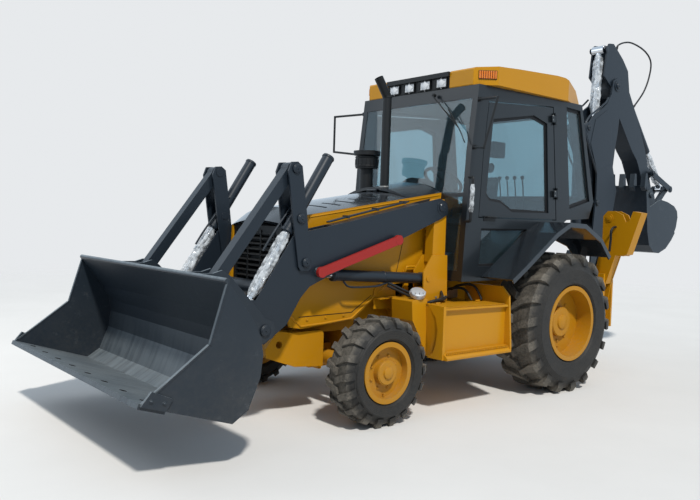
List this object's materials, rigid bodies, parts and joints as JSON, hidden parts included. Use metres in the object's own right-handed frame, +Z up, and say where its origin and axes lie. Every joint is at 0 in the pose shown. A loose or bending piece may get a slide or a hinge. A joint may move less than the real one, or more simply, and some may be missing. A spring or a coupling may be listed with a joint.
{
  "type": "backhoe loader",
  "caption": "Wheeled digging machine with a wide loader bucket on twin front arms, an enclosed cab, and a folded rear boom, dipper and digging bucket between stabilizer legs.",
  "frame": {"origin": "on the ground under the middle of the bounding box", "axes": "+X forward to the loader bucket, +Y to the left side of the machine, +Z up"},
  "size_m": [7.823, 2.3805, 3.71],
  "materials": {
    "yellow": "satin",
    "dark": "satin",
    "gloss_dark": "gloss",
    "black": "satin",
    "red": "satin",
    "rod": "polished",
    "tyre": "matte",
    "glass": "clear",
    "plastic": "matte",
    "seat_cover": "matte",
    "lamp": "gloss"
  },
  "bodies": {
    "chassis": {"main_frame": "yellow", "counterweight": "yellow", "axles": "yellow", "engine": "black", "hood_sides": "yellow", "grille": "black", "rear_cowl": "gloss_dark", "stacks": "black", "side_boxes": "yellow", "rear_frame": "yellow", "cab_frame": "dark", "cab_roof": "yellow", "cab_glass": "glass", "cab_controls": "plastic", "seat": "seat_cover", "fenders": "gloss_dark", "mirrors": "plastic", "lamps": "lamp"},
    "hood_lid": {"hood_lid": "gloss_dark"},
    "door_left": {"door_left": "dark", "door_left_glass": "glass"},
    "door_right": {"door_right": "dark", "door_right_glass": "glass"},
    "loader_arms": {"loader_arms": "dark", "safety_prop": "red"},
    "tilt_levers": {"tilt_levers": "dark"},
    "tilt_links": {"tilt_links": "dark"},
    "loader_bucket": {"loader_bucket": "dark"},
    "lift_barrels": {"lift_barrels": "dark"},
    "lift_rods": {"lift_rods": "rod"},
    "tilt_barrels": {"tilt_barrels": "dark"},
    "tilt_rods": {"tilt_rods": "rod"},
    "knuckle_left": {"knuckle_left": "yellow"},
    "knuckle_right": {"knuckle_right": "yellow"},
    "wheel_front_left": {"rim_front_left": "yellow", "tyre_front_left": "tyre"},
    "wheel_front_right": {"rim_front_right": "yellow", "tyre_front_right": "tyre"},
    "wheel_rear_left": {"rim_rear_left": "yellow", "tyre_rear_left": "tyre"},
    "wheel_rear_right": {"rim_rear_right": "yellow", "tyre_rear_right": "tyre"},
    "swing_post": {"swing_post": "dark"},
    "boom": {"boom": "dark"},
    "dipper": {"dipper": "dark"},
    "digging_bucket": {"digging_bucket": "dark"},
    "bucket_idler": {"bucket_idler": "dark"},
    "bucket_link": {"bucket_link": "dark"},
    "boom_barrel": {"boom_barrel": "dark"},
    "boom_rod": {"boom_rod": "rod"},
    "dipper_barrel": {"dipper_barrel": "dark"},
    "dipper_rod": {"dipper_rod": "rod"},
    "bucket_barrel": {"bucket_barrel": "dark"},
    "bucket_rod": {"bucket_rod": "rod"},
    "stabilizer_left": {"stabilizer_left": "yellow"},
    "stabilizer_barrel_left": {"stabilizer_barrel_left": "dark"},
    "stabilizer_rod_left": {"stabilizer_rod_left": "rod"},
    "stabilizer_right": {"stabilizer_right": "yellow"},
    "stabilizer_barrel_right": {"stabilizer_barrel_right": "dark"},
    "stabilizer_rod_right": {"stabilizer_rod_right": "rod"}
  },
  "joints": [
    {"name": "hood_lid_hinge", "type": "hinge", "parent": "chassis", "child": "hood_lid", "pos_m": [1.2125, 0, 1.81], "axis": [0, -1, 0], "range_deg": [0, 50]},
    {"name": "door_left_hinge", "type": "hinge", "parent": "chassis", "child": "door_left", "pos_m": [-0.5135, 0.765, 1.6], "axis": [0.1125, 0, 0.9937], "range_deg": [0, 80]},
    {"name": "door_right_hinge", "type": "hinge", "parent": "chassis", "child": "door_right", "pos_m": [-0.5135, -0.765, 1.6], "axis": [-0.1125, 0, -0.9937], "range_deg": [0, 80]},
    {"name": "loader_lift", "type": "hinge", "parent": "chassis", "child": "loader_arms", "pos_m": [0.9385, 0, 1.67], "axis": [0, -1, 0], "range_deg": [-8, 72]},
    {"name": "bucket_tilt", "type": "hinge", "parent": "loader_arms", "child": "loader_bucket", "pos_m": [2.7285, 0, 0.745], "axis": [0, 1, 0], "range_deg": [-22, 92]},
    {"name": "tilt_lever_turn", "type": "hinge", "parent": "loader_arms", "child": "tilt_levers", "pos_m": [2.3885, 0, 1.22], "axis": [0, 1, 0], "range_deg": [-17.83, 74.4]},
    {"name": "tilt_link_turn", "type": "hinge", "parent": "tilt_levers", "child": "tilt_links", "pos_m": [2.4935, 0, 1.898], "axis": [0, 1, 0], "range_deg": [-39.19, 9.41]},
    {"name": "tilt_barrel_turn", "type": "hinge", "parent": "tilt_levers", "child": "tilt_barrels", "pos_m": [2.4385, 0, 1.54], "axis": [0, 1, 0], "range_deg": [-56.34, 13.51]},
    {"name": "tilt_rod_slide", "type": "slide", "parent": "tilt_barrels", "child": "tilt_rods", "axis": [0.5387, 0, -0.8425], "range_m": [-0.358, 0.086]},
    {"name": "lift_barrel_turn", "type": "hinge", "parent": "chassis", "child": "lift_barrels", "pos_m": [1.0785, 0, 1.06], "axis": [0, -1, 0], "range_deg": [-7.05, 63.05]},
    {"name": "lift_rod_slide", "type": "slide", "parent": "lift_barrels", "child": "lift_rods", "axis": [0.9984, 0, 0.0559], "range_m": [-0.0834, 0.7462]},
    {"name": "steering_left", "type": "hinge", "parent": "chassis", "child": "knuckle_left", "pos_m": [1.8585, 0.7, 0.412], "axis": [0, 0, 1], "range_deg": [-30, 30]},
    {"name": "steering_right", "type": "hinge", "parent": "chassis", "child": "knuckle_right", "pos_m": [1.8585, -0.7, 0.412], "axis": [0, 0, 1], "range_deg": [-30, 30]},
    {"name": "wheel_front_left_spin", "type": "hinge", "parent": "knuckle_left", "child": "wheel_front_left", "pos_m": [1.8585, 0.868, 0.412], "axis": [0, 1, 0], "continuous": true},
    {"name": "wheel_front_right_spin", "type": "hinge", "parent": "knuckle_right", "child": "wheel_front_right", "pos_m": [1.8585, -0.868, 0.412], "axis": [0, 1, 0], "continuous": true},
    {"name": "wheel_rear_left_spin", "type": "hinge", "parent": "chassis", "child": "wheel_rear_left", "pos_m": [-0.3615, 0.86, 0.645], "axis": [0, 1, 0], "continuous": true},
    {"name": "wheel_rear_right_spin", "type": "hinge", "parent": "chassis", "child": "wheel_rear_right", "pos_m": [-0.3615, -0.86, 0.645], "axis": [0, 1, 0], "continuous": true},
    {"name": "backhoe_swing", "type": "hinge", "parent": "chassis", "child": "swing_post", "pos_m": [-1.8115, 0, 0.73], "axis": [0, 0, 1], "range_deg": [-90, 90]},
    {"name": "boom_lower", "type": "hinge", "parent": "swing_post", "child": "boom", "pos_m": [-2.1415, 0, 0.85], "axis": [0, -1, 0], "range_deg": [0, 110]},
    {"name": "boom_barrel_turn", "type": "hinge", "parent": "swing_post", "child": "boom_barrel", "pos_m": [-1.9765, 0, 1.2], "axis": [0, -1, 0], "range_deg": [-0.05, 114.45]},
    {"name": "boom_rod_slide", "type": "slide", "parent": "boom_barrel", "child": "boom_rod", "axis": [0.0142, 0, 0.9999], "range_m": [-0.0005, 0.5688]},
    {"name": "dipper_open", "type": "hinge", "parent": "boom", "child": "dipper", "pos_m": [-2.5145, 0, 3.221], "axis": [0, 1, 0], "range_deg": [0, 110]},
    {"name": "dipper_barrel_turn", "type": "hinge", "parent": "boom", "child": "dipper_barrel", "pos_m": [-2.1985, 0, 1.819], "axis": [0, 1, 0], "range_deg": [-0.05, 8.3]},
    {"name": "dipper_rod_slide", "type": "slide", "parent": "dipper_barrel", "child": "dipper_rod", "axis": [-0.0542, 0, 0.9985], "range_m": [-0.7043, 0.0005]},
    {"name": "digging_bucket_open", "type": "hinge", "parent": "dipper", "child": "digging_bucket", "pos_m": [-3.4015, 0, 1.96], "axis": [0, 1, 0], "range_deg": [0, 110]},
    {"name": "bucket_idler_turn", "type": "hinge", "parent": "dipper", "child": "bucket_idler", "pos_m": [-3.3855, 0, 2.237], "axis": [0, 1, 0], "range_deg": [-0.05, 65.28]},
    {"name": "bucket_link_turn", "type": "hinge", "parent": "bucket_idler", "child": "bucket_link", "pos_m": [-3.8635, 0, 2.058], "axis": [0, 1, 0], "range_deg": [-35.03, 0.05]},
    {"name": "bucket_barrel_turn", "type": "hinge", "parent": "dipper", "child": "bucket_barrel", "pos_m": [-2.6915, 0, 3.43], "axis": [0, 1, 0], "range_deg": [-0.05, 11.74]},
    {"name": "bucket_rod_slide", "type": "slide", "parent": "bucket_barrel", "child": "bucket_rod", "axis": [-0.6495, 0, -0.7604], "range_m": [-0.4267, 0.0005]},
    {"name": "stabilizer_left_lower", "type": "hinge", "parent": "chassis", "child": "stabilizer_left", "pos_m": [-1.5675, 0.6, 0.62], "axis": [-1, 0, 0], "range_deg": [0, 100]},
    {"name": "stabilizer_barrel_left_turn", "type": "hinge", "parent": "chassis", "child": "stabilizer_barrel_left", "pos_m": [-1.5675, 0.47, 0.8], "axis": [-1, 0, 0], "range_deg": [-0.05, 98.96]},
    {"name": "stabilizer_rod_left_slide", "type": "slide", "parent": "stabilizer_barrel_left", "child": "stabilizer_rod_left", "axis": [0, 0.28, 0.96], "range_m": [-0.0005, 0.3597]},
    {"name": "stabilizer_right_lower", "type": "hinge", "parent": "chassis", "child": "stabilizer_right", "pos_m": [-1.5675, -0.6, 0.62], "axis": [1, 0, 0], "range_deg": [0, 100]},
    {"name": "stabilizer_barrel_right_turn", "type": "hinge", "parent": "chassis", "child": "stabilizer_barrel_right", "pos_m": [-1.5675, -0.47, 0.8], "axis": [1, 0, 0], "range_deg": [-0.05, 98.96]},
    {"name": "stabilizer_rod_right_slide", "type": "slide", "parent": "stabilizer_barrel_right", "child": "stabilizer_rod_right", "axis": [0, -0.28, 0.96], "range_m": [-0.0005, 0.3597]}
  ],
  "couplings": [
    {"joint": "tilt_lever_turn", "follows": "bucket_tilt", "ratio": 0.8082},
    {"joint": "tilt_link_turn", "follows": "bucket_tilt", "ratio": -0.4254},
    {"joint": "tilt_barrel_turn", "follows": "bucket_tilt", "ratio": -0.6119},
    {"joint": "tilt_rod_slide", "follows": "bucket_tilt", "m_per_rad": -0.22267},
    {"joint": "lift_barrel_turn", "follows": "loader_lift", "ratio": 0.875},
    {"joint": "lift_rod_slide", "follows": "loader_lift", "m_per_rad": 0.59337},
    {"joint": "steering_right", "follows": "steering_left", "ratio": 1},
    {"joint": "boom_barrel_turn", "follows": "boom_lower", "ratio": 1.04},
    {"joint": "boom_rod_slide", "follows": "boom_lower", "m_per_rad": 0.296},
    {"joint": "dipper_barrel_turn", "follows": "dipper_open", "ratio": 0.075},
    {"joint": "dipper_rod_slide", "follows": "dipper_open", "m_per_rad": -0.3666},
    {"joint": "bucket_idler_turn", "follows": "digging_bucket_open", "ratio": 0.593},
    {"joint": "bucket_link_turn", "follows": "digging_bucket_open", "ratio": -0.318},
    {"joint": "bucket_barrel_turn", "follows": "digging_bucket_open", "ratio": 0.1063},
    {"joint": "bucket_rod_slide", "follows": "digging_bucket_open", "m_per_rad": -0.22198},
    {"joint": "stabilizer_barrel_left_turn", "follows": "stabilizer_left_lower", "ratio": 0.9891},
    {"joint": "stabilizer_rod_left_slide", "follows": "stabilizer_left_lower", "m_per_rad": 0.2058},
    {"joint": "stabilizer_barrel_right_turn", "follows": "stabilizer_right_lower", "ratio": 0.9891},
    {"joint": "stabilizer_rod_right_slide", "follows": "stabilizer_right_lower", "m_per_rad": 0.2058}
  ]
}
